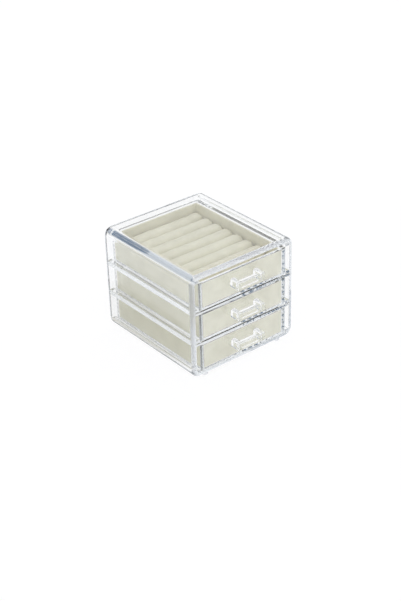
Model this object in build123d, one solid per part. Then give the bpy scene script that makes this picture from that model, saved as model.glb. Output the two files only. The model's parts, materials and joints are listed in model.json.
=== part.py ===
from build123d import *
import math
import os

os.makedirs("parts", exist_ok=True)

# A clear acrylic jewelry organizer: a rounded sleeve on four small feet, closed at the back, with
# two shelves that carry three clear drawers. Each drawer holds a velvet tray. The top tray is filled
# with ring rolls, and the other two have dividers.
# Millimetres. X is the width, Y runs from the drawer fronts (-Y) to the back (+Y), Z is up.
# The origin is on the table, under the middle of the overall size with the handles.

# Case
CASE_W = 138.0
CASE_D = 150.0
CASE_H = 120.0
CASE_R = 10.0
WALL = 5.0
RIM_ROUND = 4.5
INNER_RIM_ROUND = 0.3
BACK_T = 3.0
GLUE_GAP = 0.05

# Feet
FOOT_R = 3.5
FOOT_H = 2.5
FOOT_X = 50.0
FOOT_INSET = 5.5
FOOT_ROUND = 0.6

# Shelves, and the low side guides that keep a drawer straight
SHELF_T = 2.8
SHELF_ROUND = 0.3
BAY_PITCH = 36.2
GUIDE_W = 5.1
GUIDE_H = 3.4
GUIDE_SETBACK = 1.0
TOP_FRAME_H = 4.0
TOP_FRAME_BAR = 3.0

# Drawers
DRAWER_W = 117.0
DRAWER_H = 32.3
DRAWER_PROUD = 0.5
DRAWER_BACK_GAP = 0.8
DRAWER_LIFT = 0.3
DRAWER_R = 3.0
DRAWER_INNER_R = 1.0
DRAWER_FRONT_T = 3.0
DRAWER_SIDE_T = 4.5
DRAWER_BACK_T = 2.3
DRAWER_FLOOR = 2.4
DRAWER_BOTTOM_ROUND = 2.2
DRAWER_RIM_ROUND = 0.6
DRAWER_INNER_ROUND = 0.8

# Handles: two posts joined by a bar, with a finger gap behind the bar
HANDLE_SPAN = 37.0
HANDLE_RISE = 2.7
POST_W = 6.5
POST_D = 12.5
POST_H = 9.6
POST_ROUND = 2.0
BAR_D = 6.3
BAR_H = 7.6
BAR_ROUND = 1.2
BAR_SETBACK = 0.6
BAR_BITE = 2.0

# Velvet trays and their dividers
TRAY_CLEAR = 0.3
TRAY_H = 28.4
TRAY_T = 2.0
TRAY_FLOOR = 2.0
TRAY_R = 1.0
TRAY_INNER_R = 0.6
DIVIDER_T = 2.0
DIVIDER_H = 22.0
DIVIDER_END_GAP = 0.2
LAP_CLEAR = 0.2
MIDDLE_COLUMNS = 3
MIDDLE_ROWS = 3
BOTTOM_COLUMNS = 2

# Ring rolls on their base card
ROLL_COUNT = 8
ROLL_GAP = 0.3
ROLL_H = 17.4
ROLL_END_GAP = 0.4
ROLL_FOOT_W = 8.0
ROLL_END_L = 7.0
ROLL_TIP = 0.4
ROLL_STEPS = (0, 0.08, 0.25, 0.5, 0.75, 1)
BASE_CARD_T = 2.0
BASE_CARD_GAP = 0.3

# Worked out from the dimensions above
HANDLE_REACH = DRAWER_PROUD + POST_D
CASE_BACK_Y = (CASE_D + HANDLE_REACH) / 2
CASE_FRONT_Y = CASE_BACK_Y - CASE_D
CASE_MID_Y = (CASE_FRONT_Y + CASE_BACK_Y) / 2
CASE_Z = FOOT_H
CASE_MID_Z = CASE_Z + CASE_H / 2
FLOOR_Z = CASE_Z + WALL
CEILING_Z = CASE_Z + CASE_H - WALL
INNER_W = CASE_W - 2 * WALL
INNER_H = CASE_H - 2 * WALL
INNER_R = CASE_R - WALL
BACK_FACE_Y = CASE_BACK_Y - BACK_T

DRAWER_FRONT_Y = CASE_FRONT_Y - DRAWER_PROUD
DRAWER_BACK_Y = BACK_FACE_Y - DRAWER_BACK_GAP
WELL_FRONT_Y = DRAWER_FRONT_Y + DRAWER_FRONT_T
WELL_BACK_Y = DRAWER_BACK_Y - DRAWER_BACK_T
WELL_W = DRAWER_W - 2 * DRAWER_SIDE_T

TRAY_W = WELL_W - 2 * TRAY_CLEAR
TRAY_FRONT_Y = WELL_FRONT_Y + TRAY_CLEAR
TRAY_BACK_Y = WELL_BACK_Y - TRAY_CLEAR
TRAY_IN_W = TRAY_W - 2 * TRAY_T
TRAY_IN_FRONT_Y = TRAY_FRONT_Y + TRAY_T
TRAY_IN_BACK_Y = TRAY_BACK_Y - TRAY_T
TRAY_IN_D = TRAY_IN_BACK_Y - TRAY_IN_FRONT_Y
TRAY_IN_MID_Y = (TRAY_IN_FRONT_Y + TRAY_IN_BACK_Y) / 2


def block(x0, x1, y0, y1, z0, z1):
    """A square-edged block between two corners."""
    size = (x1 - x0, y1 - y0, z1 - z0)
    middle = ((x0 + x1) / 2, (y0 + y1) / 2, (z0 + z1) / 2)
    return Pos(*middle) * Box(*size)


def upright(width, y0, y1, z0, z1, radius):
    """A block centred on X whose four upright corners are rounded."""
    outline = Pos(0, (y0 + y1) / 2, z0) * RectangleRounded(width, y1 - y0, radius)
    return extrude(outline, amount=z1 - z0)


def tunnel(width, height, radius, y0, y1):
    """A prism along Y with a rounded rectangle for its section, level with the case's middle."""
    face_to_back = Plane(origin=(0, y0, CASE_MID_Z), x_dir=(1, 0, 0), z_dir=(0, 1, 0))
    return extrude(face_to_back * RectangleRounded(width, height, radius), amount=y1 - y0)


def case_shell():
    """The sleeve: top, bottom and both sides in one, with softened front and back rims."""
    outer = tunnel(CASE_W, CASE_H, CASE_R, CASE_FRONT_Y, CASE_BACK_Y)
    outer = fillet(outer.faces().sort_by(Axis.Y)[0].edges(), RIM_ROUND)
    outer = fillet(outer.faces().sort_by(Axis.Y)[-1].edges(), RIM_ROUND)
    shell = outer - tunnel(INNER_W, INNER_H, INNER_R, CASE_FRONT_Y, CASE_BACK_Y)
    mouth = shell.faces().sort_by(Axis.Y)[0].inner_wires()[0].edges()
    return fillet(mouth, INNER_RIM_ROUND)


def inside_of_case(y0, y1):
    """The space inside the sleeve, less a thin glue line, for trimming what is glued in it."""
    return tunnel(INNER_W - 2 * GLUE_GAP, INNER_H - 2 * GLUE_GAP, INNER_R - GLUE_GAP, y0, y1)


def back_panel():
    """The plate that closes the back of the sleeve."""
    return inside_of_case(BACK_FACE_Y, CASE_BACK_Y)


def foot(side, end):
    """One round foot under a corner; side is -1 or 1 in X, end is -1 or 1 in Y."""
    y = CASE_MID_Y + end * (CASE_D / 2 - FOOT_INSET)
    disc = Pos(side * FOOT_X, y, FOOT_H / 2) * Cylinder(FOOT_R, FOOT_H)
    return fillet(disc.faces().sort_by(Axis.Z)[0].edges(), FOOT_ROUND)


def guide_strip(side, z0, z1):
    """A strip along one side wall that fills the space beside a drawer."""
    outer_x = side * (INNER_W / 2 - GLUE_GAP)
    inner_x = side * (INNER_W / 2 - GUIDE_W)
    x0, x1 = sorted((outer_x, inner_x))
    return block(x0, x1, CASE_FRONT_Y + GUIDE_SETBACK, BACK_FACE_Y, z0, z1)


def bay_floor(level):
    """Height of the surface that a drawer slides on; level 0 is the bottom drawer."""
    return FLOOR_Z + level * BAY_PITCH


def floor_guide(side):
    """The guide strip on the case's floor, shaped to its rounded inner corner."""
    strip = guide_strip(side, FLOOR_Z, FLOOR_Z + GUIDE_H)
    return strip & inside_of_case(CASE_FRONT_Y, BACK_FACE_Y)


def shelf(level):
    """A plate across the case, with a low guide along each side, for the drawer at this level."""
    top = bay_floor(level)
    half = INNER_W / 2 - GLUE_GAP
    plate = block(-half, half, CASE_FRONT_Y, BACK_FACE_Y, top - SHELF_T, top)
    front_edges = plate.faces().sort_by(Axis.Y)[0].edges().filter_by(Axis.X)
    plate = fillet(front_edges, SHELF_ROUND)
    return plate + guide_strip(-1, top, top + GUIDE_H) + guide_strip(1, top, top + GUIDE_H)


def top_frame():
    """The U-shaped rail under the top: a front bar and two side rails above the top drawer."""
    z0 = CEILING_Z - TOP_FRAME_H
    half = INNER_W / 2 - GUIDE_W
    bar = block(-half, half, CASE_FRONT_Y, CASE_FRONT_Y + TOP_FRAME_BAR, z0, CEILING_Z)
    left = block(-INNER_W / 2, -half, CASE_FRONT_Y, BACK_FACE_Y, z0, CEILING_Z)
    right = block(half, INNER_W / 2, CASE_FRONT_Y, BACK_FACE_Y, z0, CEILING_Z)
    return (bar + left + right) & inside_of_case(CASE_FRONT_Y, BACK_FACE_Y)


def drawer_floor(level):
    """Height of a drawer's underside."""
    return bay_floor(level) + DRAWER_LIFT


def drawer_box(level):
    """One clear drawer, moulded in one: front, sides, back and floor."""
    z0 = drawer_floor(level)
    z1 = z0 + DRAWER_H
    body = upright(DRAWER_W, DRAWER_FRONT_Y, DRAWER_BACK_Y, z0, z1, DRAWER_R)
    body = fillet(body.faces().sort_by(Axis.Z)[0].edges(), DRAWER_BOTTOM_ROUND)
    body = fillet(body.faces().sort_by(Axis.Z)[-1].edges(), DRAWER_RIM_ROUND)
    well = upright(WELL_W, WELL_FRONT_Y, WELL_BACK_Y, z0 + DRAWER_FLOOR, z1, DRAWER_INNER_R)
    well = fillet(well.faces().sort_by(Axis.Z)[0].edges(), DRAWER_INNER_ROUND)
    return body - well


def handle(level):
    """One drawer's handle: a post at each end, with a bar between them."""
    middle_z = drawer_floor(level) + DRAWER_H / 2 + HANDLE_RISE
    tip_y = DRAWER_FRONT_Y - POST_D
    span = HANDLE_SPAN / 2
    bar = block(
        -span + POST_W - BAR_BITE,
        span - POST_W + BAR_BITE,
        tip_y + BAR_SETBACK,
        tip_y + BAR_SETBACK + BAR_D,
        middle_z - BAR_H / 2,
        middle_z + BAR_H / 2,
    )
    grip = fillet(bar.edges().filter_by(Axis.X), BAR_ROUND)
    for side in (-1, 1):
        x0, x1 = sorted((side * span, side * (span - POST_W)))
        post = block(x0, x1, tip_y, DRAWER_FRONT_Y, middle_z - POST_H / 2, middle_z + POST_H / 2)
        post = fillet(post.edges().filter_by(Axis.Y), POST_ROUND)
        tip = post.faces().sort_by(Axis.Y)[0].edges()
        grip += fillet(tip, BAR_ROUND)
    return grip


def tray_floor(level):
    """Height of a tray's underside, on its drawer's floor."""
    return drawer_floor(level) + DRAWER_FLOOR


def tray_bed(level):
    """Height of the surface inside a tray."""
    return tray_floor(level) + TRAY_FLOOR


def velvet_tray(level):
    """The velvet-covered tray that lies in a drawer."""
    z0 = tray_floor(level)
    z1 = z0 + TRAY_H
    body = upright(TRAY_W, TRAY_FRONT_Y, TRAY_BACK_Y, z0, z1, TRAY_R)
    body = fillet(body.faces().sort_by(Axis.Z)[0].edges(), DRAWER_INNER_ROUND)
    well = upright(
        TRAY_IN_W, TRAY_IN_FRONT_Y, TRAY_IN_BACK_Y, z0 + TRAY_FLOOR, z1, TRAY_INNER_R
    )
    return body - well


def even_places(count, low, high):
    """Where the dividers stand that split a length into this many equal cells."""
    return [low + (high - low) * i / count for i in range(1, count)]


MIDDLE_X = even_places(MIDDLE_COLUMNS, -TRAY_IN_W / 2, TRAY_IN_W / 2)
MIDDLE_Y = even_places(MIDDLE_ROWS, TRAY_IN_FRONT_Y, TRAY_IN_BACK_Y)
BOTTOM_X = even_places(BOTTOM_COLUMNS, -TRAY_IN_W / 2, TRAY_IN_W / 2)


def divider_along_y(level, x, crossings):
    """A divider from front to back, notched from above where others cross it."""
    z0 = tray_bed(level)
    t = DIVIDER_T / 2
    front = TRAY_IN_FRONT_Y + DIVIDER_END_GAP
    back = TRAY_IN_BACK_Y - DIVIDER_END_GAP
    board = block(x - t, x + t, front, back, z0, z0 + DIVIDER_H)
    notch = t + LAP_CLEAR / 2
    for y in crossings:
        z_notch = z0 + DIVIDER_H / 2 - LAP_CLEAR / 2
        board -= block(x - t, x + t, y - notch, y + notch, z_notch, z0 + DIVIDER_H)
    return board


def divider_along_x(level, y, crossings):
    """A divider from side to side, notched from below where others cross it."""
    z0 = tray_bed(level)
    t = DIVIDER_T / 2
    half = TRAY_IN_W / 2 - DIVIDER_END_GAP
    board = block(-half, half, y - t, y + t, z0, z0 + DIVIDER_H)
    notch = t + LAP_CLEAR / 2
    for x in crossings:
        z_notch = z0 + DIVIDER_H / 2 + LAP_CLEAR / 2
        board -= block(x - notch, x + notch, y - t, y + t, z0, z_notch)
    return board


def roll_base_card():
    """The card that the ring rolls are fixed to, on the bed of the top tray."""
    z0 = tray_bed(2)
    half = TRAY_IN_W / 2 - BASE_CARD_GAP
    front = TRAY_IN_FRONT_Y + BASE_CARD_GAP
    back = TRAY_IN_BACK_Y - BASE_CARD_GAP
    return block(-half, half, front, back, z0, z0 + BASE_CARD_T)


ROLL_PITCH = (TRAY_IN_D - 2 * BASE_CARD_GAP) / ROLL_COUNT
ROLL_W = ROLL_PITCH - ROLL_GAP
ROLL_HALF_L = TRAY_IN_W / 2 - ROLL_END_GAP


def roll_swell(t):
    """How full a roll is, from its closed end (t = 0) to its full section (t = 1)."""
    return ROLL_TIP + (1 - ROLL_TIP) * math.sqrt(1 - (1 - t) ** 2)


def roll_slice(x, y, z0, swell):
    """A slice across a roll: a flat foot, full sides and a round crown."""
    half_w = ROLL_W / 2 * swell
    half_foot = ROLL_FOOT_W / 2 * swell
    # The foot stays on the card, so a slimmer slice is also lower
    top_z = ROLL_H * (ROLL_TIP + (1 - ROLL_TIP) * swell)
    side_z = top_z - half_w
    shoulder = half_w * math.sqrt(0.5)
    across = Plane(origin=(x, y, z0), x_dir=(0, 1, 0), z_dir=(1, 0, 0))
    outline = [
        Line((-half_foot, 0), (half_foot, 0)),
        TangentArc((half_w, side_z), (half_foot, 0), tangent=(0, -1)),
        ThreePointArc((half_w, side_z), (shoulder, side_z + shoulder), (0, top_z)),
        ThreePointArc((0, top_z), (-shoulder, side_z + shoulder), (-half_w, side_z)),
        TangentArc((-half_w, side_z), (-half_foot, 0), tangent=(0, -1)),
    ]
    return across * make_face(outline)


def ring_roll(number):
    """One stuffed ring roll along X, crowned on top and rounded at both ends; 1 is the front one."""
    y = TRAY_IN_FRONT_Y + BASE_CARD_GAP + (number - 0.5) * ROLL_PITCH
    z0 = tray_bed(2) + BASE_CARD_T
    left = [roll_slice(-ROLL_HALF_L + t * ROLL_END_L, y, z0, roll_swell(t)) for t in ROLL_STEPS]
    right = [roll_slice(ROLL_HALF_L - t * ROLL_END_L, y, z0, roll_swell(t)) for t in ROLL_STEPS]
    return loft(left + right[::-1], ruled=True)


LEVEL_NAMES = ("bottom", "middle", "top")

nodes = {
    "case_shell": case_shell(),
    "back_panel": back_panel(),
    "top_frame": top_frame(),
    "upper_shelf": shelf(2),
    "lower_shelf": shelf(1),
    "left_floor_guide": floor_guide(-1),
    "right_floor_guide": floor_guide(1),
    "roll_base_card": roll_base_card(),
}

for end_name, end in (("front", -1), ("back", 1)):
    for side_name, side in (("left", -1), ("right", 1)):
        nodes[f"{end_name}_{side_name}_foot"] = foot(side, end)

for level, level_name in enumerate(LEVEL_NAMES):
    nodes[f"{level_name}_drawer_box"] = drawer_box(level)
    nodes[f"{level_name}_handle"] = handle(level)
    nodes[f"{level_name}_velvet_tray"] = velvet_tray(level)

for i, x in enumerate(MIDDLE_X, start=1):
    nodes[f"middle_long_divider_{i}"] = divider_along_y(1, x, MIDDLE_Y)
for i, y in enumerate(MIDDLE_Y, start=1):
    nodes[f"middle_cross_divider_{i}"] = divider_along_x(1, y, MIDDLE_X)
for x in BOTTOM_X:
    nodes["bottom_divider"] = divider_along_y(0, x, [])

for number in range(1, ROLL_COUNT + 1):
    nodes[f"ring_roll_{number}"] = ring_roll(number)

for name, solid in nodes.items():
    export_step(solid, f"parts/{name}.step")
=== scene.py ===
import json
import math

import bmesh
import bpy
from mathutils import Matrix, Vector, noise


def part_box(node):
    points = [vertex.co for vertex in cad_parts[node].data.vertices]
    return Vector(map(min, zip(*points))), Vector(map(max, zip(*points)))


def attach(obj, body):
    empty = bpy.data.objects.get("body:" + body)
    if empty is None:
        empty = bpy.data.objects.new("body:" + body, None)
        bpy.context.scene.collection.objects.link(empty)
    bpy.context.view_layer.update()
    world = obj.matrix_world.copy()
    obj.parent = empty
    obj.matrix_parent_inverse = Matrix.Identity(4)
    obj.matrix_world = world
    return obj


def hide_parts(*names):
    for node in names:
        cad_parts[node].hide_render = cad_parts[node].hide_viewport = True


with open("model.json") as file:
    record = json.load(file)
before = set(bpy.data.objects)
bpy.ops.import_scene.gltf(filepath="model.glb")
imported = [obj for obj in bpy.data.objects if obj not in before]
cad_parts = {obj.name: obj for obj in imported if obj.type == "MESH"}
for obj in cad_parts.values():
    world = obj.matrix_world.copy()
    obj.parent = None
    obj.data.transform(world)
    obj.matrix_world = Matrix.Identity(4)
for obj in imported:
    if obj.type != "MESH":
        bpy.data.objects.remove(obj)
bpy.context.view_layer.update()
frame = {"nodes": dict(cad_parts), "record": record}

# %% [markdown]
# # A clear jewelry organizer
# The object is a box of clear acrylic, so almost nothing on it has a colour of its own. What the
# eye sees are edges: light that bends in a rounded rim, the end of a plate, a gap between two
# walls. The only coloured thing is the beige velvet of the trays. So the lesson has two halves:
# clear pieces with true walls and true rims, which bend light in the right places, and soft velvet
# inside.

MM = 0.001

case_low, case_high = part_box("case_shell")
case_middle = (case_low + case_high) / 2

# %% [markdown]
# ## The camera
# The photograph looks down on the front left edge through a long lens from well away, so that the
# sides hardly converge. A camera is placed the way one is on a tripod: a direction round the
# object, a height above it, a distance, and a small roll. The small shift of aim is a move of the
# whole camera, because the object isn't in the middle of the picture.

# %% Camera
PHOTO_W, PHOTO_H = 401, 601
LENS_PX = 1253.3
SENSOR_MM = 36
AZIMUTH = math.radians(-38.17)
ELEVATION = math.radians(30.49)
ROLL = math.radians(-1.73)
DISTANCE = 1.3816
AIM_RIGHT, AIM_UP = 0.0005, 0.0306


def photo_camera():
    """A camera at the photograph's viewpoint, aimed at the foot of the case."""
    back = Vector((
        math.sin(AZIMUTH) * math.cos(ELEVATION),
        -math.cos(AZIMUTH) * math.cos(ELEVATION),
        math.sin(ELEVATION),
    ))
    level_right = Vector((math.cos(AZIMUTH), math.sin(AZIMUTH), 0))
    level_up = back.cross(level_right)
    right = math.cos(ROLL) * level_right + math.sin(ROLL) * level_up
    up = back.cross(right)
    foot_middle = Vector((case_middle.x, case_middle.y, case_low.z))
    place = foot_middle + back * DISTANCE + right * AIM_RIGHT + up * AIM_UP

    data = bpy.data.cameras.new("photo_camera")
    data.sensor_width = SENSOR_MM
    data.lens = SENSOR_MM * LENS_PX / max(PHOTO_W, PHOTO_H)
    camera = bpy.data.objects.new("photo_camera", data)
    bpy.context.scene.collection.objects.link(camera)
    turn = Matrix((right, up, back)).transposed().to_4x4()
    camera.matrix_world = Matrix.Translation(place) @ turn
    return camera


bpy.context.scene.camera = photo_camera()
bpy.context.scene.view_settings.view_transform = "Standard"
print("lens in mm:", round(bpy.context.scene.camera.data.lens, 1))

# %% [markdown]
# ## Long light paths
# A ray that enters the front edge of a clear plate can't get out through its faces. It's mirrored
# from one to the other some dozen times and leaves at the far end, which is why the front edge of a
# shelf shines. A renderer that gives up after four mirrorings shows that edge black, so the paths
# are made long enough. The filter that blurs what a matt surface sees through glass is off too,
# because it dims velvet that stands behind two clear walls.

# %% Light paths
light_paths = bpy.context.scene.cycles
light_paths.max_bounces = 48
light_paths.glossy_bounces = 40
light_paths.transmission_bounces = 40
light_paths.diffuse_bounces = 5
light_paths.blur_glossy = 0.0
print("mirrorings allowed:", light_paths.glossy_bounces)

# %% [markdown]
# ## Light for a clear object
# A clear thing on white is lit by what stands round it. White all round would make it vanish, so a
# studio leaves some of its sides darker, and that is what rims and corners pick up as thin grey
# lines. Here the world is white, apart from a dark blue-grey patch at the front left and a pale one
# at the back left. The camera never looks at them. Only rays that an edge has bent or mirrored get
# there. The velvet is matt and gets a light of its own: cooler and brighter from the front right,
# and plain and dimmer from behind, as the photograph has it.

# %% World
WHITE = (1.0, 1.0, 1.0, 1.0)
DARK_PATCHES = (
    {
        "toward": (-0.50, -0.80, 0.33), "tone": (0.20, 0.26, 0.36, 1.0),
        "core": 0.985, "edge": 0.86,
    },
    {
        "toward": (-0.44, 0.77, 0.46), "tone": (0.58, 0.63, 0.69, 1.0),
        "core": 0.970, "edge": 0.88,
    },
)
SOFT_TOP = (1.0, 1.0, 1.0, 1.0)
SOFT_COOL = (0.94, 0.99, 1.26, 1.0)
SOFT_WARM = (1.0, 1.0, 1.0, 1.0)
SOFT_FROM = (0.50, -0.86, 0.0)
SOFT_DIM, SOFT_BRIGHT = 0.83, 1.12


def node(tree, kind, **values):
    """A shader node with its settings and input values filled in."""
    made = tree.nodes.new(kind)
    for key, value in values.items():
        name = key.replace("_", " ")
        if name in made.inputs:
            made.inputs[name].default_value = value
        else:
            setattr(made, key, value)
    return made


def mixed(tree, factor, first, second):
    """A colour that goes from first to second with the factor; each is a colour or a socket."""
    made = node(tree, "ShaderNodeMix", data_type="RGBA")
    tree.links.new(factor, made.inputs["Factor"])
    for name, value in (("A", first), ("B", second)):
        if isinstance(value, tuple):
            made.inputs[name].default_value = value
        else:
            tree.links.new(value, made.inputs[name])
    return made.outputs["Result"]


def ramp(tree, value, low=0.0, high=1.0, **settings):
    """A value's place between low and high, from 0 to 1, as a map range node."""
    made = node(tree, "ShaderNodeMapRange", **settings)
    made.inputs["From Min"].default_value = low
    made.inputs["From Max"].default_value = high
    tree.links.new(value, made.inputs["Value"])
    return made


def likeness(tree, direction, toward):
    """How much a direction is like another: 1 along it, -1 against it."""
    made = node(tree, "ShaderNodeVectorMath", operation="DOT_PRODUCT")
    made.inputs[1].default_value = toward
    tree.links.new(direction, made.inputs[0])
    return made.outputs["Value"]


def sharp_world(tree, direction):
    """White with soft dark patches, for rays that are bent or mirrored."""
    tone = WHITE
    for dark in DARK_PATCHES:
        near = likeness(tree, direction, Vector(dark["toward"]).normalized())
        patch = ramp(tree, near, dark["edge"], dark["core"], interpolation_type="SMOOTHSTEP")
        tone = mixed(tree, patch.outputs["Result"], tone, dark["tone"])
    around = node(tree, "ShaderNodeBackground")
    tree.links.new(tone, around.inputs["Color"])
    return around


def soft_world(tree, direction):
    """The light that matt surfaces get."""
    facing = likeness(tree, direction, SOFT_FROM)
    strength = ramp(tree, facing, -1.0)
    strength.inputs["To Min"].default_value = SOFT_DIM
    strength.inputs["To Max"].default_value = SOFT_BRIGHT
    side = mixed(tree, ramp(tree, facing, -1.0).outputs["Result"], SOFT_WARM, SOFT_COOL)
    part = node(tree, "ShaderNodeSeparateXYZ")
    tree.links.new(direction, part.inputs[0])
    soft = node(tree, "ShaderNodeBackground")
    tree.links.new(mixed(tree, part.outputs["Z"], side, SOFT_TOP), soft.inputs["Color"])
    tree.links.new(strength.outputs["Result"], soft.inputs["Strength"])
    return soft


def studio_world():
    """Plain white to the camera, patches to clear pieces, soft light to matt ones."""
    world = bpy.data.worlds.new("studio")
    world.use_nodes = True
    tree = world.node_tree
    tree.nodes.clear()
    link = tree.links.new
    direction = node(tree, "ShaderNodeTexCoord").outputs["Generated"]
    plain = node(tree, "ShaderNodeBackground", Color=WHITE)
    path = node(tree, "ShaderNodeLightPath")
    scattered = node(tree, "ShaderNodeMath", operation="GREATER_THAN")
    scattered.inputs[1].default_value = 0.5
    link(path.outputs["Diffuse Depth"], scattered.inputs[0])
    lit = node(tree, "ShaderNodeMixShader")
    link(scattered.outputs[0], lit.inputs["Fac"])
    link(sharp_world(tree, direction).outputs[0], lit.inputs[1])
    link(soft_world(tree, direction).outputs[0], lit.inputs[2])
    seen = node(tree, "ShaderNodeMixShader")
    link(path.outputs["Is Camera Ray"], seen.inputs["Fac"])
    link(lit.outputs[0], seen.inputs[1])
    link(plain.outputs[0], seen.inputs[2])
    out = node(tree, "ShaderNodeOutputWorld")
    link(seen.outputs[0], out.inputs["Surface"])
    bpy.context.scene.world = world
    print("soft dark patches in the world:", len(DARK_PATCHES))


studio_world()

# %% [markdown]
# ## The floor
# The table is white and runs on for ever. It glows evenly to the camera and to rays that come
# straight through the acrylic. Round a real box a table is darker, because the box stands in the
# light. Matt surfaces get that as less light from the floor nearby, and the left wall mirrors it as
# a darker zone beside the box: that is why the lower trays look deeper there. The table also keeps
# a share of real light, so that the box sets a faint shadow on it.

# %% Floor
FLOOR_HALF = 3.0
FLOOR_WHITE = (0.92, 0.92, 0.92, 1.0)
FLOOR_FAR_TONE = (0.89, 0.92, 1.01, 1.0)
FLOOR_NEAR_TONE = (0.46, 0.45, 0.38, 1.0)
FLOOR_NEAR, FLOOR_FAR = 0.05, 0.20
FLOOR_DARK_AT = Vector((-0.13, 0.03, 0.0))
SHADOW_MIDDLE = Vector((-0.09, 0.10, 0.0))
SHADOW_HALF = Vector((0.046, 0.17, 1.0))
SHADOW_CORE, SHADOW_EDGE = 0.80, 1.05
SHADOW_TONE = (0.62, 0.61, 0.56, 1.0)
FLOOR_TONE = (0.09, 0.09, 0.095, 1.0)


def floor():
    """A wide white table top under the feet."""
    bm = bmesh.new()
    bmesh.ops.create_grid(bm, x_segments=1, y_segments=1, size=FLOOR_HALF)
    mesh = bpy.data.meshes.new("floor")
    bm.to_mesh(mesh)
    bm.free()
    table = bpy.data.objects.new("floor", mesh)
    bpy.context.scene.collection.objects.link(table)
    material = bpy.data.materials.new("white_table")
    material.use_nodes = True
    tree = material.node_tree
    tree.nodes.clear()
    link = tree.links.new
    path = node(tree, "ShaderNodeLightPath")
    place = node(tree, "ShaderNodeTexCoord").outputs["Object"]
    away = node(tree, "ShaderNodeVectorMath", operation="DISTANCE")
    away.inputs[1].default_value = FLOOR_DARK_AT
    from_shadow = node(tree, "ShaderNodeVectorMath", operation="SUBTRACT")
    from_shadow.inputs[1].default_value = SHADOW_MIDDLE
    in_halves = node(tree, "ShaderNodeVectorMath", operation="DIVIDE")
    in_halves.inputs[1].default_value = SHADOW_HALF
    how_far = node(tree, "ShaderNodeVectorMath", operation="LENGTH")
    link(place, away.inputs[0])
    link(place, from_shadow.inputs[0])
    link(from_shadow.outputs["Vector"], in_halves.inputs[0])
    link(in_halves.outputs["Vector"], how_far.inputs[0])
    far = ramp(tree, away.outputs["Value"], FLOOR_NEAR, FLOOR_FAR)
    outside = ramp(
        tree, how_far.outputs["Value"], SHADOW_CORE, SHADOW_EDGE, interpolation_type="SMOOTHSTEP"
    )
    scattered = mixed(tree, far.outputs["Result"], FLOOR_NEAR_TONE, FLOOR_FAR_TONE)
    mirrored = mixed(tree, outside.outputs["Result"], SHADOW_TONE, FLOOR_WHITE)
    sharp = mixed(tree, path.outputs["Glossy Depth"], FLOOR_WHITE, mirrored)
    glow = node(tree, "ShaderNodeEmission")
    link(mixed(tree, path.outputs["Diffuse Depth"], sharp, scattered), glow.inputs["Color"])
    matt = node(tree, "ShaderNodeBsdfDiffuse", Color=FLOOR_TONE)
    both = node(tree, "ShaderNodeAddShader")
    out = node(tree, "ShaderNodeOutputMaterial")
    link(glow.outputs[0], both.inputs[0])
    link(matt.outputs[0], both.inputs[1])
    link(both.outputs[0], out.inputs["Surface"])
    mesh.materials.append(material)


floor()
print("table, in m across:", 2 * FLOOR_HALF)

# %% [markdown]
# ## A dark card
# A photographer of clear things sets small dark cards beside them, out of the picture. A plate that
# pipes light from its front edge to its back then shows the card as a dark blue line. This card
# stands behind the box to the left. Only mirrored and bent rays see it, so it throws no shadow.

# %% Dark card
CARD_MIDDLE = Vector((-0.145, 0.334, 0.218))
CARD_TOWARD = Vector((0.03, 0.075, 0.06))
CARD_RADIUS = 0.14
CARD_TONE = (0.13, 0.19, 0.28, 1.0)


def dark_card():
    """A round dark card that faces the back of the box."""
    bm = bmesh.new()
    facing = (CARD_TOWARD - CARD_MIDDLE).to_track_quat("Z", "Y").to_matrix().to_4x4()
    bmesh.ops.create_circle(
        bm, cap_ends=True, segments=48, radius=CARD_RADIUS,
        matrix=Matrix.Translation(CARD_MIDDLE) @ facing,
    )
    mesh = bpy.data.meshes.new("dark_card")
    bm.to_mesh(mesh)
    bm.free()
    card = bpy.data.objects.new("dark_card", mesh)
    bpy.context.scene.collection.objects.link(card)
    material = bpy.data.materials.new("dark_card")
    material.use_nodes = True
    tree = material.node_tree
    tree.nodes.clear()
    glow = node(tree, "ShaderNodeEmission", Color=CARD_TONE)
    out = node(tree, "ShaderNodeOutputMaterial")
    tree.links.new(glow.outputs[0], out.inputs["Surface"])
    mesh.materials.append(material)
    card.visible_camera = False
    card.visible_diffuse = False
    card.visible_shadow = False


dark_card()
print("card, in mm across:", round(2 * CARD_RADIUS / MM))

# %% [markdown]
# ## Clear acrylic
# Acrylic is a clear plastic with an index of 1.49. It swallows a little light on the way, red more
# than blue, so a long way through a plate looks bluish while a wall looks clear. A volume that
# absorbs gives that. Its skin isn't perfect either: moulding leaves a very slow wave in a flat
# wall, and handling leaves a haze of hairlines. The wave is a faint bump, and the haze is a small
# change in roughness. Both read Object coordinates, so that they stay on the piece.

# %% Acrylic material
ACRYLIC_INDEX = 1.49
ACRYLIC_TINT = (0.992, 0.996, 1.0, 1.0)
THICKNESS_TONE = (0.770, 0.830, 0.890, 1.0)
THICKNESS_PER_M = 2.2
HAIRLINES_PER_M, HAIRLINES_LOW, HAIRLINES_HIGH = 900.0, 0.35, 0.75
WAVES_PER_M = 22.0


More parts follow.
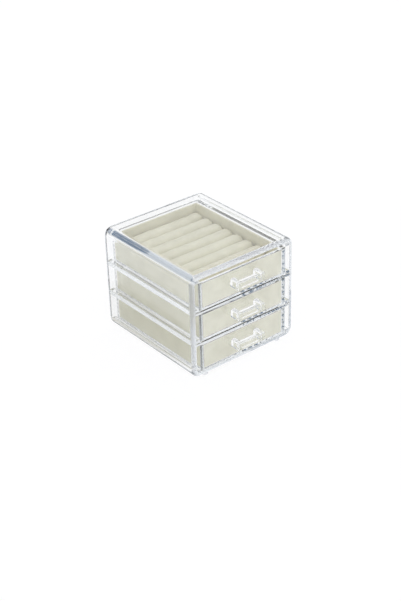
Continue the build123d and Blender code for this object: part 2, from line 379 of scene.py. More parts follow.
def clear_acrylic(name, tint, haze_low, haze_high, wave):
    """A clear moulded plastic: haze_low to haze_high is its roughness, wave its moulding bump."""
    material = bpy.data.materials.new(name)
    material.use_nodes = True
    tree = material.node_tree
    link = tree.links.new
    shader = tree.nodes["Principled BSDF"]
    shader.inputs["Base Color"].default_value = tint
    shader.inputs["Transmission Weight"].default_value = 1.0
    shader.inputs["IOR"].default_value = ACRYLIC_INDEX
    place = node(tree, "ShaderNodeTexCoord")
    hairlines = node(tree, "ShaderNodeTexNoise", Scale=HAIRLINES_PER_M, Detail=3.0)
    link(place.outputs["Object"], hairlines.inputs["Vector"])
    haze = ramp(tree, hairlines.outputs["Fac"], HAIRLINES_LOW, HAIRLINES_HIGH)
    haze.inputs["To Min"].default_value = haze_low
    haze.inputs["To Max"].default_value = haze_high
    link(haze.outputs["Result"], shader.inputs["Roughness"])
    slow = node(tree, "ShaderNodeTexNoise", Scale=WAVES_PER_M, Detail=1.0)
    bump = node(tree, "ShaderNodeBump", Strength=wave, Distance=MM)
    link(place.outputs["Object"], slow.inputs["Vector"])
    link(slow.outputs["Fac"], bump.inputs["Height"])
    link(bump.outputs["Normal"], shader.inputs["Normal"])
    thickness = node(
        tree, "ShaderNodeVolumeAbsorption", Color=THICKNESS_TONE, Density=THICKNESS_PER_M
    )
    link(thickness.outputs[0], tree.nodes["Material Output"].inputs["Volume"])
    return material


acrylic = clear_acrylic("clear_acrylic", ACRYLIC_TINT, 0.0, 0.03, 0.04)
foot_plastic = clear_acrylic("clear_foot", (0.66, 0.68, 0.72, 1.0), 0.15, 0.25, 0.1)
print("clear materials:", acrylic.name, foot_plastic.name)

# %% [markdown]
# ## Beige velvet
# Velvet is a short upright pile. It's darkest where you look straight into it and lighter towards
# a rim, which is what sheen does. The pile also leans a little one way or the other, and soft
# patches come out lighter or darker: partly the pile's own uneven tone, and partly painted sheen
# set into the colour. Close up it's a fine grain.

# %% Velvet material
VELVET_LIGHT = (0.775, 0.750, 0.585, 1.0)
VELVET_DEEP = (0.655, 0.628, 0.475, 1.0)
LEAN_AND_SHEEN_PER_M, PILE_PER_M = 55.0, 2600.0
LEAN_AND_SHEEN_LOW, LEAN_AND_SHEEN_HIGH = 0.32, 0.62


def velvet(name, light, deep):
    """A short pile: two tones in soft patches, partly painted sheen; a fine grain; a sheen towards
    the rim.
    """
    material = bpy.data.materials.new(name)
    material.use_nodes = True
    tree = material.node_tree
    link = tree.links.new
    shader = tree.nodes["Principled BSDF"]
    shader.inputs["Roughness"].default_value = 0.9
    shader.inputs["Specular IOR Level"].default_value = 0.15
    shader.inputs["Sheen Weight"].default_value = 0.35
    shader.inputs["Sheen Roughness"].default_value = 0.45
    shader.inputs["Sheen Tint"].default_value = (1.0, 0.98, 0.92, 1.0)
    place = node(tree, "ShaderNodeTexCoord")
    lean_and_sheen = node(tree, "ShaderNodeTexNoise", Scale=LEAN_AND_SHEEN_PER_M, Detail=3.0, Roughness=0.6)
    pile = node(tree, "ShaderNodeTexNoise", Scale=PILE_PER_M, Detail=2.0)
    both = node(tree, "ShaderNodeMix", data_type="FLOAT")
    both.inputs["Factor"].default_value = 0.3
    bump = node(tree, "ShaderNodeBump", Strength=0.35, Distance=0.0003)
    link(place.outputs["Object"], lean_and_sheen.inputs["Vector"])
    link(place.outputs["Object"], pile.inputs["Vector"])
    link(lean_and_sheen.outputs["Fac"], both.inputs["A"])
    link(pile.outputs["Fac"], both.inputs["B"])
    # Lighter and darker soft patches: partly the pile's uneven tone, partly painted sheen.
    lean_and_sheen_share = ramp(tree, both.outputs["Result"], LEAN_AND_SHEEN_LOW, LEAN_AND_SHEEN_HIGH)
    tone = mixed(tree, lean_and_sheen_share.outputs["Result"], deep, light)
    link(tone, shader.inputs["Base Color"])
    link(pile.outputs["Fac"], bump.inputs["Height"])
    link(bump.outputs["Normal"], shader.inputs["Normal"])
    return material


beige_velvet = velvet("beige_velvet", VELVET_LIGHT, VELVET_DEEP)
print("velvet:", beige_velvet.name)

# %% [markdown]
# ## Finishing a piece
# Each modelled piece stands for one node of the construction and moves with that node's body. Its
# faces are smooth, its hard edges are marked, and a weighted normal keeps the flat walls optically
# flat: without it the shading of a rounded rim would leak into the wall and bend the view. A
# stuffed piece has no flat walls and does without.

# %% Helpers that finish a piece
HARD_EDGE = math.radians(40)
body_of_node = {n: b for b, names in frame["record"]["behaviour"]["bodies"].items() for n in names}


def mesh_object(name, bm, material):
    """Turns a bmesh into an object with smooth faces and marked hard edges."""
    bmesh.ops.recalc_face_normals(bm, faces=bm.faces)
    for face in bm.faces:
        face.smooth = True
    for edge in bm.edges:
        edge.smooth = edge.calc_face_angle(0.0) < HARD_EDGE
    mesh = bpy.data.meshes.new(name)
    bm.to_mesh(mesh)
    bm.free()
    mesh.materials.append(material)
    piece = bpy.data.objects.new(name, mesh)
    bpy.context.scene.collection.objects.link(piece)
    return piece


def finish_piece(piece, cad_node, flat_walls=True):
    """Makes a piece stand for a node of the construction and move with its body."""
    if flat_walls:
        weighted = piece.modifiers.new("flat_walls", "WEIGHTED_NORMAL")
        weighted.keep_sharp = True
    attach(piece, body_of_node[cad_node])
    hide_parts(cad_node)
    return piece


# %% [markdown]
# ## Shaping a piece
# Clear sheet goods are worked with few steps: a block is sawn, an edge is rounded and polished, a
# lip is raised. The helpers below are those steps on a mesh. They find edges and faces by where
# they lie, in metres, and never by their numbers, so a step still fits when a size changes.

# %% Helpers that shape a piece
SAME_PLACE = 1e-6
X, Y, Z = 0, 1, 2


def box_between(bm, low, high):
    """Adds a box between two corners and returns its vertices."""
    made = bmesh.ops.create_cube(bm, size=1.0)["verts"]
    bmesh.ops.scale(bm, vec=high - low, verts=made)
    bmesh.ops.translate(bm, vec=(low + high) / 2, verts=made)
    return made


def edges_along(bm, axis):
    """The straight edges that run along one axis."""
    def runs_along(edge):
        run = edge.verts[0].co - edge.verts[1].co
        return all(abs(run[i]) < SAME_PLACE for i in range(3) if i != axis)
    return [e for e in bm.edges if runs_along(e)]


def level_with(items, axis, value):
    """The edges or faces whose every corner has this value on one axis."""
    return [i for i in items if all(abs(v.co[axis] - value) < SAME_PLACE for v in i.verts)]


def round_edges(bm, edges, radius, segments):
    """Rounds edges with a circular bevel."""
    bmesh.ops.bevel(
        bm, geom=edges, offset=radius, segments=segments, profile=0.5, affect="EDGES", material=-1
    )


def soften_hard_edges(bm, radius, segments=2):
    """Takes the sharpness off every edge that is still a right angle or so."""
    hard = [e for e in bm.edges if e.calc_face_angle(0.0) > HARD_EDGE]
    round_edges(bm, hard, radius, segments)


def plane_across(axis, value, side=1):
    """A point and a normal for the plane that crosses an axis at a value."""
    normal = Vector((0, 0, 0))
    normal[axis] = side
    return {"plane_co": normal * side * value, "plane_no": normal}


def split_at(bm, axis, value):
    """Cuts new edges where a plane crosses the mesh, and takes nothing away."""
    every = bm.verts[:] + bm.edges[:] + bm.faces[:]
    bmesh.ops.bisect_plane(bm, geom=every, dist=SAME_PLACE, **plane_across(axis, value))


def cut_away(bm, axis, value, side):
    """Takes away all that lies on one side (-1 or 1) of a plane, and closes the cut."""
    every = bm.verts[:] + bm.edges[:] + bm.faces[:]
    cut = bmesh.ops.bisect_plane(
        bm, geom=every, dist=SAME_PLACE, clear_outer=True, **plane_across(axis, value, side)
    )
    rim = [g for g in cut["geom_cut"] if isinstance(g, bmesh.types.BMEdge)]
    bmesh.ops.edgeloop_fill(bm, edges=rim)


def pull(bm, faces, move):
    """Extrudes faces by a move, and leaves no wall where they were."""
    grown = bmesh.ops.extrude_face_region(bm, geom=faces)["geom"]
    moved = [g for g in grown if isinstance(g, bmesh.types.BMVert)]
    bmesh.ops.translate(bm, vec=move, verts=moved)
    left_behind = [f for f in faces if f.is_valid]
    bmesh.ops.delete(bm, geom=left_behind, context="FACES")
    bmesh.ops.recalc_face_normals(bm, faces=bm.faces)


print("corners sharper than this count as hard, in degrees:", round(math.degrees(HARD_EDGE)))

# %% [markdown]
# ## The case
# The case is one sleeve: top, bottom and sides in a single wall that turns four generous corners.
# A box with its four long edges rounded has the right outside. Both ends are rounded off over
# nearly the whole wall, because such a full rim is what bends the light into the broad pale band
# round the front. What is left of each end face is inset to the wall's thickness, the middle of
# both is taken out, and the two holes are bridged, which gives a true inner wall. The corner
# radius inside is then the outer one less the wall, as it is on a moulded part.

# %% Case
CASE_R = 10 * MM
WALL = 5 * MM
RIM_ROUND = 4.5 * MM
MOUTH_ROUND = 0.3 * MM
CORNER_STEPS = 20
RIM_STEPS = 10
MOUTH_STEPS = 3


def mouth_edges(bm, y):
    """The edges of one end where the flat rim meets the inner wall."""
    ends = level_with(bm.edges, Y, y)
    return [e for e in ends if any(abs(f.normal.y) < 0.01 for f in e.link_faces)]


def case_sleeve():
    """The rounded sleeve, open at both ends, with full round rims."""
    bm = bmesh.new()
    box_between(bm, case_low, case_high)
    round_edges(bm, edges_along(bm, Y), CASE_R, CORNER_STEPS)
    for y in (case_low.y, case_high.y):
        round_edges(bm, level_with(bm.edges, Y, y), RIM_ROUND, RIM_STEPS)
    ends = [f for y in (case_low.y, case_high.y) for f in level_with(bm.faces, Y, y)]
    bmesh.ops.inset_region(bm, faces=ends, thickness=WALL - RIM_ROUND, use_even_offset=True)
    bmesh.ops.delete(bm, geom=ends, context="FACES_ONLY")
    bmesh.ops.bridge_loops(bm, edges=[e for e in bm.edges if e.is_boundary])
    bmesh.ops.recalc_face_normals(bm, faces=bm.faces)
    round_edges(bm, mouth_edges(bm, case_low.y), MOUTH_ROUND, MOUTH_STEPS)
    return finish_piece(mesh_object("case_shell_clear", bm, acrylic), "case_shell")


case = case_sleeve()
print("case faces:", len(case.data.polygons))

# %% [markdown]
# ## What is glued into the sleeve
# The back panel, the rail under the top and the strips on the floor all follow the sleeve's
# rounded inside. So each starts from the same block, the inside of the sleeve less a hair for the
# glue, and planes cut away what isn't wanted. The hair matters: two clear faces in the very same
# place come out black. Every cut edge is then softened a little, as polished acrylic is.

# %% Back panel, top frame and floor guides
GLUE_GAP = 0.05 * MM
GUIDE_W = 5.1 * MM
TOP_FRAME_BAR = 3 * MM
POLISH = 0.3 * MM
guide_x = case_high.x - WALL - GUIDE_W


def inside_of_case(y0, y1):
    """A block that fills the sleeve between two places along Y."""
    bm = bmesh.new()
    inset = Vector((WALL + GLUE_GAP, 0, WALL + GLUE_GAP))
    low, high = case_low + inset, case_high - inset
    low.y, high.y = y0, y1
    box_between(bm, low, high)
    round_edges(bm, edges_along(bm, Y), CASE_R - WALL - GLUE_GAP, CORNER_STEPS // 2)
    return bm


def back_panel():
    """The plate that closes the back of the sleeve."""
    low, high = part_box("back_panel")
    bm = inside_of_case(low.y, high.y)
    soften_hard_edges(bm, POLISH)
    return finish_piece(mesh_object("back_panel_clear", bm, acrylic), "back_panel")


def top_frame():
    """A bar across the front under the top, with a rail back along each side."""
    low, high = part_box("top_frame")
    high.y -= GLUE_GAP
    bar_back = low.y + TOP_FRAME_BAR
    bm = inside_of_case(low.y, bar_back)
    cut_away(bm, Z, low.z, -1)
    split_at(bm, X, -guide_x)
    split_at(bm, X, guide_x)
    behind = level_with(bm.faces, Y, bar_back)
    ends = [f for f in behind if abs(f.calc_center_median().x) > guide_x]
    pull(bm, ends, Vector((0, high.y - bar_back, 0)))
    soften_hard_edges(bm, POLISH)
    return finish_piece(mesh_object("top_frame_clear", bm, acrylic), "top_frame")


def floor_guide(side_name, side):
    """A strip beside the bottom drawer, shaped to the sleeve's rounded inner corner."""
    cad_node = f"{side_name}_floor_guide"
    low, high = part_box(cad_node)
    high.y -= GLUE_GAP
    bm = inside_of_case(low.y, high.y)
    cut_away(bm, X, side * guide_x, -side)
    cut_away(bm, Z, high.z, 1)
    soften_hard_edges(bm, POLISH)
    return finish_piece(mesh_object(f"{cad_node}_clear", bm, acrylic), cad_node)


glued_in = [back_panel(), top_frame(), floor_guide("left", -1), floor_guide("right", 1)]
print("glued in:", [(p.name, len(p.data.polygons)) for p in glued_in])

# %% [markdown]
# ## Shelves
# A shelf is a plate with a low guide along each side that keeps the drawer straight. The guides
# are the plate's own top face, pulled up: three cuts mark where they stand, and an extrusion lifts
# them. The front edge is sawn and polished, with hardly any rounding. So it lets out the light that
# the plate pipes from behind, and that is the bright and dark band between two drawer fronts.

# %% Shelves
SHELF_T = 2.8 * MM
SHELF_ROUND = 0.3 * MM
SHELF_STEPS = 3
GUIDE_SETBACK = 1 * MM


def shelf(cad_node):
    """One plate across the case with its two side guides."""
    low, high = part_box(cad_node)
    high.y -= GLUE_GAP
    top = low.z + SHELF_T
    bm = bmesh.new()
    box_between(bm, low, Vector((high.x, high.y, top)))
    split_at(bm, X, -guide_x)
    split_at(bm, X, guide_x)
    split_at(bm, Y, low.y + GUIDE_SETBACK)
    strips = []
    for face in level_with(bm.faces, Z, top):
        middle = face.calc_center_median()
        if abs(middle.x) > guide_x and middle.y > low.y + GUIDE_SETBACK:
            strips.append(face)
    pull(bm, strips, Vector((0, 0, high.z - top)))
    flat = [e for e in bm.edges if e.calc_face_angle(0.0) < HARD_EDGE / 10]
    bmesh.ops.dissolve_edges(bm, edges=flat, use_verts=True)
    front = [e for e in level_with(bm.edges, Y, low.y) if e in edges_along(bm, X)]
    round_edges(bm, front, SHELF_ROUND, SHELF_STEPS)
    soften_hard_edges(bm, POLISH / 2)
    return finish_piece(mesh_object(f"{cad_node}_clear", bm, acrylic), cad_node)


shelves = [shelf("upper_shelf"), shelf("lower_shelf")]
print("shelf faces:", [len(s.data.polygons) for s in shelves])

# %% [markdown]
# ## Feet
# Four small clear discs keep the case off the table. A short cylinder with its lower rim rounded
# is the whole shape.

# %% Feet
FOOT_ROUND = 0.6 * MM
FOOT_ROUND_STEPS = 3
FOOT_STEPS = 40


def foot(cad_node):
    """One round foot."""
    low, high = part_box(cad_node)
    high.z -= GLUE_GAP
    bm = bmesh.new()
    radius = (high.x - low.x) / 2
    bmesh.ops.create_cone(
        bm, cap_ends=True, segments=FOOT_STEPS, radius1=radius, radius2=radius,
        depth=high.z - low.z, matrix=Matrix.Translation((low + high) / 2),
    )
    round_edges(bm, level_with(bm.edges, Z, low.z), FOOT_ROUND, FOOT_ROUND_STEPS)
    return finish_piece(mesh_object(f"{cad_node}_clear", bm, foot_plastic), cad_node)


feet = [foot(f"{end}_{side}_foot") for end in ("front", "back") for side in ("left", "right")]
print("feet:", len(feet))

# %% [markdown]
# ## Open boxes: the drawers and the trays
# A drawer and a tray are the same kind of thing: a box with rounded upright corners and a well in
# it. The top face is inset by the side wall's thickness, its front and back rows of points are
# moved to where those walls want them, and the inner face is pulled down to make the well. The
# outer and inner corners are rounded each with their own radius, because a thick side wall has a
# nearly sharp corner inside.

# %% Open box
BOX_STEPS = 12
UNDERSIDE_STEPS = 6


def upright_corners(bm, x):
    """The hard upright edges that stand at x, left or right."""
    return [
        e for e in edges_along(bm, Z)
        if abs(abs(e.verts[0].co.x) - x) < SAME_PLACE and e.calc_face_angle(0.0) > HARD_EDGE
    ]


def open_box(low, high, side_t, front_t, back_t, floor_t, corner, inner_corner, underside):
    """A box with a well in it, rounded at its upright corners and round its underside."""
    bm = bmesh.new()
    box_between(bm, low, high)
    lid = level_with(bm.faces, Z, high.z)
    bmesh.ops.inset_region(bm, faces=lid, thickness=side_t, use_even_offset=True)
    middle_y = (low.y + high.y) / 2
    front_row = [v for v in lid[0].verts if v.co.y < middle_y]
    back_row = [v for v in lid[0].verts if v.co.y > middle_y]
    bmesh.ops.translate(bm, vec=(0, front_t - side_t, 0), verts=front_row)
    bmesh.ops.translate(bm, vec=(0, side_t - back_t, 0), verts=back_row)
    pull(bm, lid, Vector((0, 0, low.z + floor_t - high.z)))
    round_edges(bm, upright_corners(bm, high.x), corner, BOX_STEPS)
    round_edges(bm, upright_corners(bm, high.x - side_t), inner_corner, BOX_STEPS // 2)
    round_edges(bm, level_with(bm.edges, Z, low.z), underside, UNDERSIDE_STEPS)
    return bm


print("steps in a rounded corner:", BOX_STEPS)

# %% [markdown]
# ## Drawers
# Each drawer is moulded in one piece: a 3 mm front, side walls of 4.5 mm, a thinner back, a floor,
# and upright corners with a 3 mm round. The thick side walls carry light from behind to the front.
# With the corners and the rounded underside they draw the thin dark and pale lines round every
# drawer front.

# %% Drawers
LEVELS = ("bottom", "middle", "top")
DRAWER_R = 3 * MM
DRAWER_INNER_R = 1 * MM
DRAWER_FRONT_T = 3 * MM
DRAWER_SIDE_T = 4.5 * MM
DRAWER_BACK_T = 2.3 * MM
DRAWER_FLOOR = 2.4 * MM
DRAWER_BOTTOM_ROUND = 2.2 * MM
DRAWER_INNER_ROUND = 0.8 * MM
DRAWER_RIM_ROUND = 0.6 * MM
DRAWER_EDGE_STEPS = 3


def drawer(level):
    """One clear drawer with softened rims."""
    cad_node = f"{level}_drawer_box"
    low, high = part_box(cad_node)
    bm = open_box(
        low, high, DRAWER_SIDE_T, DRAWER_FRONT_T, DRAWER_BACK_T, DRAWER_FLOOR,
        DRAWER_R, DRAWER_INNER_R, DRAWER_BOTTOM_ROUND,
    )
    well_floor = level_with(bm.edges, Z, low.z + DRAWER_FLOOR)
    round_edges(bm, well_floor, DRAWER_INNER_ROUND, DRAWER_EDGE_STEPS)
    soften_hard_edges(bm, DRAWER_RIM_ROUND, DRAWER_EDGE_STEPS)
    return finish_piece(mesh_object(f"{cad_node}_clear", bm, acrylic), cad_node)


drawers = [drawer(level) for level in LEVELS]
print("drawer faces:", [len(d.data.polygons) for d in drawers])

# %% [markdown]
# ## Handles
# A handle is a clear bar between two blocky posts, all one moulding. Three rounded blocks overlap,
# and a union makes them one solid, because a clear piece must have no walls inside it: light would
# bend there too.

# %% Handles
POST_W = 6.5 * MM
POST_ROUND = 2 * MM
BAR_D = 6.3 * MM
BAR_H = 7.6 * MM
BAR_ROUND = 1.2 * MM
BAR_SETBACK = 0.6 * MM
BAR_BITE = 2 * MM
HANDLE_GLUE = 0.03 * MM
POST_STEPS, BAR_STEPS = 6, 4


def post(name, low, high):
    """One post, rounded along its length and round its tip."""
    bm = bmesh.new()
    box_between(bm, low, high)
    round_edges(bm, edges_along(bm, Y), POST_ROUND, POST_STEPS)
    round_edges(bm, level_with(bm.edges, Y, low.y), BAR_ROUND, BAR_STEPS)
    return mesh_object(name, bm, acrylic)


def handle(level):
    """Two posts and the bar between them, joined into one clear solid."""
    cad_node = f"{level}_handle"
    low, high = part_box(cad_node)
    high.y -= HANDLE_GLUE
    middle_z = (low.z + high.z) / 2
    left = post("left_post", low, Vector((low.x + POST_W, high.y, high.z)))
    right = post("right_post", Vector((high.x - POST_W, low.y, low.z)), high)
    bm = bmesh.new()
    reach = POST_W - BAR_BITE
    box_between(
        bm,
        Vector((low.x + reach, low.y + BAR_SETBACK, middle_z - BAR_H / 2)),
        Vector((high.x - reach, low.y + BAR_SETBACK + BAR_D, middle_z + BAR_H / 2)),
    )
    round_edges(bm, edges_along(bm, X), BAR_ROUND, BAR_STEPS)
    bar = mesh_object("bar", bm, acrylic)
    for side in (left, right):
        union = bar.modifiers.new("join", "BOOLEAN")
        union.operation = "UNION"
        union.object = side
    bpy.context.view_layer.update()
    ready = bar.evaluated_get(bpy.context.evaluated_depsgraph_get())
    bm = bmesh.new()
    bm.from_mesh(ready.to_mesh())
    bmesh.ops.remove_doubles(bm, verts=bm.verts, dist=SAME_PLACE)
    for spent in (left, right, bar):
        bpy.data.objects.remove(spent)
    return finish_piece(mesh_object(f"{cad_node}_clear", bm, acrylic), cad_node)


handles = [handle(level) for level in LEVELS]
print("handle faces:", [len(h.data.polygons) for h in handles])

# %% [markdown]
# ## Velvet trays
# A tray is a shallow card box covered in velvet. The velvet folds over its rim, so the rim is
# round, and the inner corners are crisp, because the lining is made of panels that meet there.

# %% Velvet trays
TRAY_T = 2 * MM
TRAY_R = 1 * MM
TRAY_INNER_R = 0.6 * MM
TRAY_RIM = 0.75 * MM
TRAY_RIM_STEPS = 4


def velvet_tray(level):
    """One velvet-covered tray."""
    cad_node = f"{level}_velvet_tray"
    low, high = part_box(cad_node)
    low.z += GLUE_GAP
    bm = open_box(
        low, high, TRAY_T, TRAY_T, TRAY_T, TRAY_T, TRAY_R, TRAY_INNER_R, DRAWER_INNER_ROUND
    )
    rim = [e for e in level_with(bm.edges, Z, high.z) if e.calc_face_angle(0.0) > HARD_EDGE]
    round_edges(bm, rim, TRAY_RIM, TRAY_RIM_STEPS)
    return finish_piece(mesh_object(f"{cad_node}_plush", bm, beige_velvet), cad_node)


trays = [velvet_tray(level) for level in LEVELS]
print("tray faces:", [len(t.data.polygons) for t in trays])

# %% [markdown]
# ## Dividers
# The dividers are velvet-covered boards that slot into each other: those from front to back are
# notched from above, those from side to side from below. A board's outline is a face with its
# notches, which is then given its thickness.

# %% Dividers
LAP_CLEAR = 0.2 * MM
DIVIDER_SOFT = 0.5 * MM
DIVIDER_STEPS = 3


def notched_board(cad_node, crossed_by, along):
    """A board along X or Y with a half-height notch where each crossing board passes."""
    low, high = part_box(cad_node)
    across = X if along == Y else Y
    side = 1 if along == Y else -1
    edge_z, far_z = (high.z, low.z) if side > 0 else (low.z, high.z)
    notch_z = (low.z + high.z) / 2 - side * LAP_CLEAR / 2
    outline = [(low[along], far_z), (low[along], edge_z)]
    for other in sorted(crossed_by):
        other_low, other_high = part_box(other)
        start, end = other_low[along] - LAP_CLEAR / 2, other_high[along] + LAP_CLEAR / 2
        outline += [(start, edge_z), (start, notch_z), (end, notch_z), (end, edge_z)]
    outline += [(high[along], edge_z), (high[along], far_z)]

    bm = bmesh.new()
    corners = []
    for place, z in outline:
        corner = Vector((0, 0, z))
        corner[along], corner[across] = place, low[across]
        corners.append(bm.verts.new(corner))
    face = bm.faces.new(corners)
    thickness = Vector((0, 0, 0))
    thickness[across] = high[across] - low[across]
    grown = bmesh.ops.extrude_face_region(bm, geom=[face])["geom"]
    moved = [g for g in grown if isinstance(g, bmesh.types.BMVert)]
    bmesh.ops.translate(bm, vec=thickness, verts=moved)
    bmesh.ops.recalc_face_normals(bm, faces=bm.faces)
    soften_hard_edges(bm, DIVIDER_SOFT, DIVIDER_STEPS)
    return finish_piece(mesh_object(f"{cad_node}_plush", bm, beige_velvet), cad_node)


long_boards = sorted(n for n in frame["nodes"] if n.startswith("middle_long_divider"))
cross_boards = sorted(n for n in frame["nodes"] if n.startswith("middle_cross_divider"))
dividers = [notched_board(n, cross_boards, Y) for n in long_boards]
dividers += [notched_board(n, long_boards, X) for n in cross_boards]
dividers.append(notched_board("bottom_divider", [], Y))
print("dividers:", len(dividers))

# %% [markdown]
# ## The card under the rolls
# The ring rolls are sewn or glued to a card, so that the whole set drops into the tray in one go.
# The card is covered in the same velvet, and it shows only as the bottom of the gaps.

# %% Base card
def base_card():
    """The velvet-covered card under the rolls."""
    low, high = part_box("roll_base_card")
    bm = bmesh.new()
    box_between(bm, low, high)
    soften_hard_edges(bm, DIVIDER_SOFT, DIVIDER_STEPS)
    return finish_piece(mesh_object("roll_base_card_plush", bm, beige_velvet), "roll_base_card")


card_piece = base_card()
print("card faces:", len(card_piece.data.polygons))

# %% [markdown]
# ## Stuffing a roll
# A stuffed sleeve looks stuffed because cloth under pressure finds its own shape. So each roll
# starts a little slack, its mesh is made even with a voxel remesh, and Blender's Cloth blows it up
# for twenty frames. The solver is at home with things the size of a cushion, so the roll is made
# five times as large for it. How far a point may move is capped, which keeps the roll clear of its
# neighbours. Small pleats at the drawn-in ends and a slow unevenness along the roll come last.

# %% Stuffing
STUFF_SCALE = 5.0
STUFF_VOXEL = 6.5 * MM
STUFF_FRAMES = 20
STUFF_PRESSURE = 4.0
STUFF_CAP = 0.35 * MM
PLEATS = 11
PLEAT_DEPTH = 0.30 * MM
PLEAT_REACH = 9 * MM
PLEAT_CENTRE = 8 * MM
PLEAT_TURN_PER_MM = 9
PLEAT_FOOT = 4 * MM
UNEVEN = 0.35 * MM
UNEVEN_SCALE = 70.0


def keep_modified_mesh(piece):
    """Makes the modifiers' result the piece's own mesh."""
    graph = bpy.context.evaluated_depsgraph_get()
    ready = bpy.data.meshes.new_from_object(piece.evaluated_get(graph))
    piece.modifiers.clear()
    piece.data = ready


def stuff(piece, middle):
    """Swells a slack sleeve by a short cloth simulation, about the middle of its foot."""
    enlarge = Matrix.Scale(STUFF_SCALE, 4) @ Matrix.Translation(-middle)
    piece.data.transform(enlarge)
    even = piece.modifiers.new("even", "REMESH")
    even.mode = "VOXEL"
    even.voxel_size = STUFF_VOXEL
    keep_modified_mesh(piece)
    slack = [v.co.copy() for v in piece.data.vertices]
    cloth = piece.modifiers.new("stuffing", "CLOTH")
    cloth.settings.use_pressure = True
    cloth.settings.uniform_pressure_force = STUFF_PRESSURE
    cloth.settings.effector_weights.gravity = 0
    cloth.point_cache.frame_end = STUFF_FRAMES
    for number in range(1, STUFF_FRAMES + 1):
        bpy.context.scene.frame_set(number)
    keep_modified_mesh(piece)
    bpy.context.scene.frame_set(1)
    cap = STUFF_CAP * STUFF_SCALE
    for vert, start in zip(piece.data.vertices, slack):
        move = vert.co - start
        vert.co = start + move * min(1.0, cap / max(move.length, SAME_PLACE))
    piece.data.transform(enlarge.inverted())


def pleat(piece, middle, half_length):
    """Small pleats at both ends and a slow unevenness along a roll."""
    for vert in piece.data.vertices:
        x, y, z = vert.co - middle
        to_end = max(half_length - abs(x), 0.0)
        near_end = max(1 - to_end / PLEAT_REACH, 0.0)
        turn = math.atan2(z - PLEAT_CENTRE, y)
        fullest_halfway = near_end * (1 - near_end) * 4
        fold = math.cos(PLEATS * turn + PLEAT_TURN_PER_MM * middle.y / MM) * fullest_halfway
        slow = noise.noise(vert.co * UNEVEN_SCALE)
        above_foot = min(max(z, 0.0) / PLEAT_FOOT, 1.0)
        vert.co += vert.normal * above_foot * (PLEAT_DEPTH * fold + UNEVEN * slow)


print("frames of stuffing:", STUFF_FRAMES)

# %% [markdown]
# ## Ring rolls
# Each roll is a velvet sleeve stuffed with foam, and a ring is held in the gap to the next one. Its
# section is a flat foot, full sides and a round crown. At both ends the sleeve is drawn together,
# so the roll gets slimmer and lower there. A cylinder along X is the blank, with rings of faces on
# its end caps, and every point of it is moved to its place on the section.

# %% Ring rolls
ROLL_COUNT = sum(n.startswith("ring_roll_") for n in frame["nodes"])
ROLL_FOOT_HALF = 4 * MM
ROLL_END_L = 7 * MM
ROLL_TIP = 0.4
ROLL_SLACK = 0.965
ROLL_CROWN = 0.86
ROLL_AROUND = 48
ROLL_ALONG = 96
CAP_RINGS, CAP_RING_W = 5, 0.16
CENTRE_SHARE = 0.45
BEND_SHARE, FOOT_SHARE = 1.35, 0.35


def roll_swell(distance):
    """How full a roll is at a distance from its drawn-in end."""
    t = min(max(distance / ROLL_END_L, 0.0), 1.0)
    return ROLL_TIP + (1 - ROLL_TIP) * math.sqrt(1 - (1 - t) ** 2)


def roll_section(turn, half_w, half_foot, height):
    """A point of a roll's section at a turn from 0 to 1, from the right side over the crown."""
    side_z = height - half_w
    angle = 2 * math.pi * turn
    if angle <= math.pi:
        across = abs(math.cos(angle)) ** ROLL_CROWN * math.copysign(half_w, math.cos(angle))
        return across, side_z + half_w * abs(math.sin(angle)) ** ROLL_CROWN
    down = angle - math.pi
    share = min(down, math.pi - down) / (math.pi / 2)
    bend = min(share * BEND_SHARE, 1.0) * math.pi / 2
    y = half_foot + (half_w - half_foot) * math.cos(bend)
    z = side_z * (1 - math.sin(bend))
    if share * BEND_SHARE > 1.0:
        y = half_foot * (1 - (share * BEND_SHARE - 1) / FOOT_SHARE)
    return (-y if down < math.pi / 2 else y), z


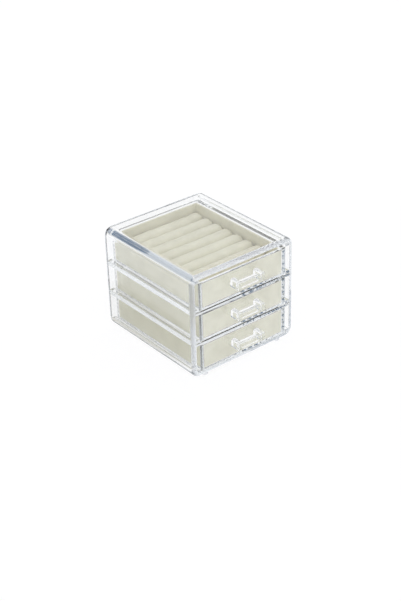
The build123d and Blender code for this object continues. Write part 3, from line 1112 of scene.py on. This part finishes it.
def roll_blank(length):
    """A cylinder of radius 1 along X, evenly divided, with rings of faces on both caps."""
    bm = bmesh.new()
    bmesh.ops.create_cone(
        bm, cap_ends=True, segments=ROLL_AROUND, radius1=1.0, radius2=1.0, depth=length,
        matrix=Matrix.Rotation(math.radians(90), 4, "Y"),
    )
    long_edges = edges_along(bm, X)
    bmesh.ops.subdivide_edges(bm, edges=long_edges, cuts=ROLL_ALONG)
    for x in (-length / 2, length / 2):
        cap = level_with(bm.faces, X, x)
        for _ in range(CAP_RINGS):
            bmesh.ops.inset_region(bm, faces=cap, thickness=CAP_RING_W)
            cap = [f for f in level_with(bm.faces, X, x) if len(f.verts) > 4]
    return bm


def place_on_section(bm, length, full_w, full_h, middle_y, foot_z):
    """Moves every point of a blank to its place on the roll."""
    for vert in bm.verts:
        x, y, z = vert.co
        reach = min(math.hypot(y, z), 1.0)
        turn = (math.atan2(z, y) / (2 * math.pi)) % 1.0
        swell = roll_swell(length / 2 - abs(x))
        height = full_h * (ROLL_TIP + (1 - ROLL_TIP) * swell)
        section = roll_section(turn, full_w * swell, ROLL_FOOT_HALF * swell, height)
        centre_z = height * CENTRE_SHARE
        vert.co = Vector((
            x,
            middle_y + section[0] * reach,
            foot_z + centre_z + (section[1] - centre_z) * reach,
        ))


def ring_roll(number):
    """One stuffed roll along X."""
    cad_node = f"ring_roll_{number}"
    low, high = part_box(cad_node)
    length = high.x - low.x
    middle_y = (low.y + high.y) / 2
    full_w, full_h = ROLL_SLACK * (high.y - low.y) / 2, ROLL_SLACK * (high.z - low.z)
    bm = roll_blank(length)
    place_on_section(bm, length, full_w, full_h, middle_y, low.z)
    foot_middle = Vector(((low.x + high.x) / 2, middle_y, low.z))
    piece = mesh_object(f"{cad_node}_plush", bm, beige_velvet)
    stuff(piece, foot_middle)
    pleat(piece, foot_middle, length / 2)
    for face in piece.data.polygons:
        face.use_smooth = True
    finer = piece.modifiers.new("finer", "SUBSURF")
    finer.levels = finer.render_levels = 1
    return finish_piece(piece, cad_node, flat_walls=False)


rolls = [ring_roll(number) for number in range(1, ROLL_COUNT + 1)]
print("ring rolls:", len(rolls), "faces each:", len(rolls[0].data.polygons))
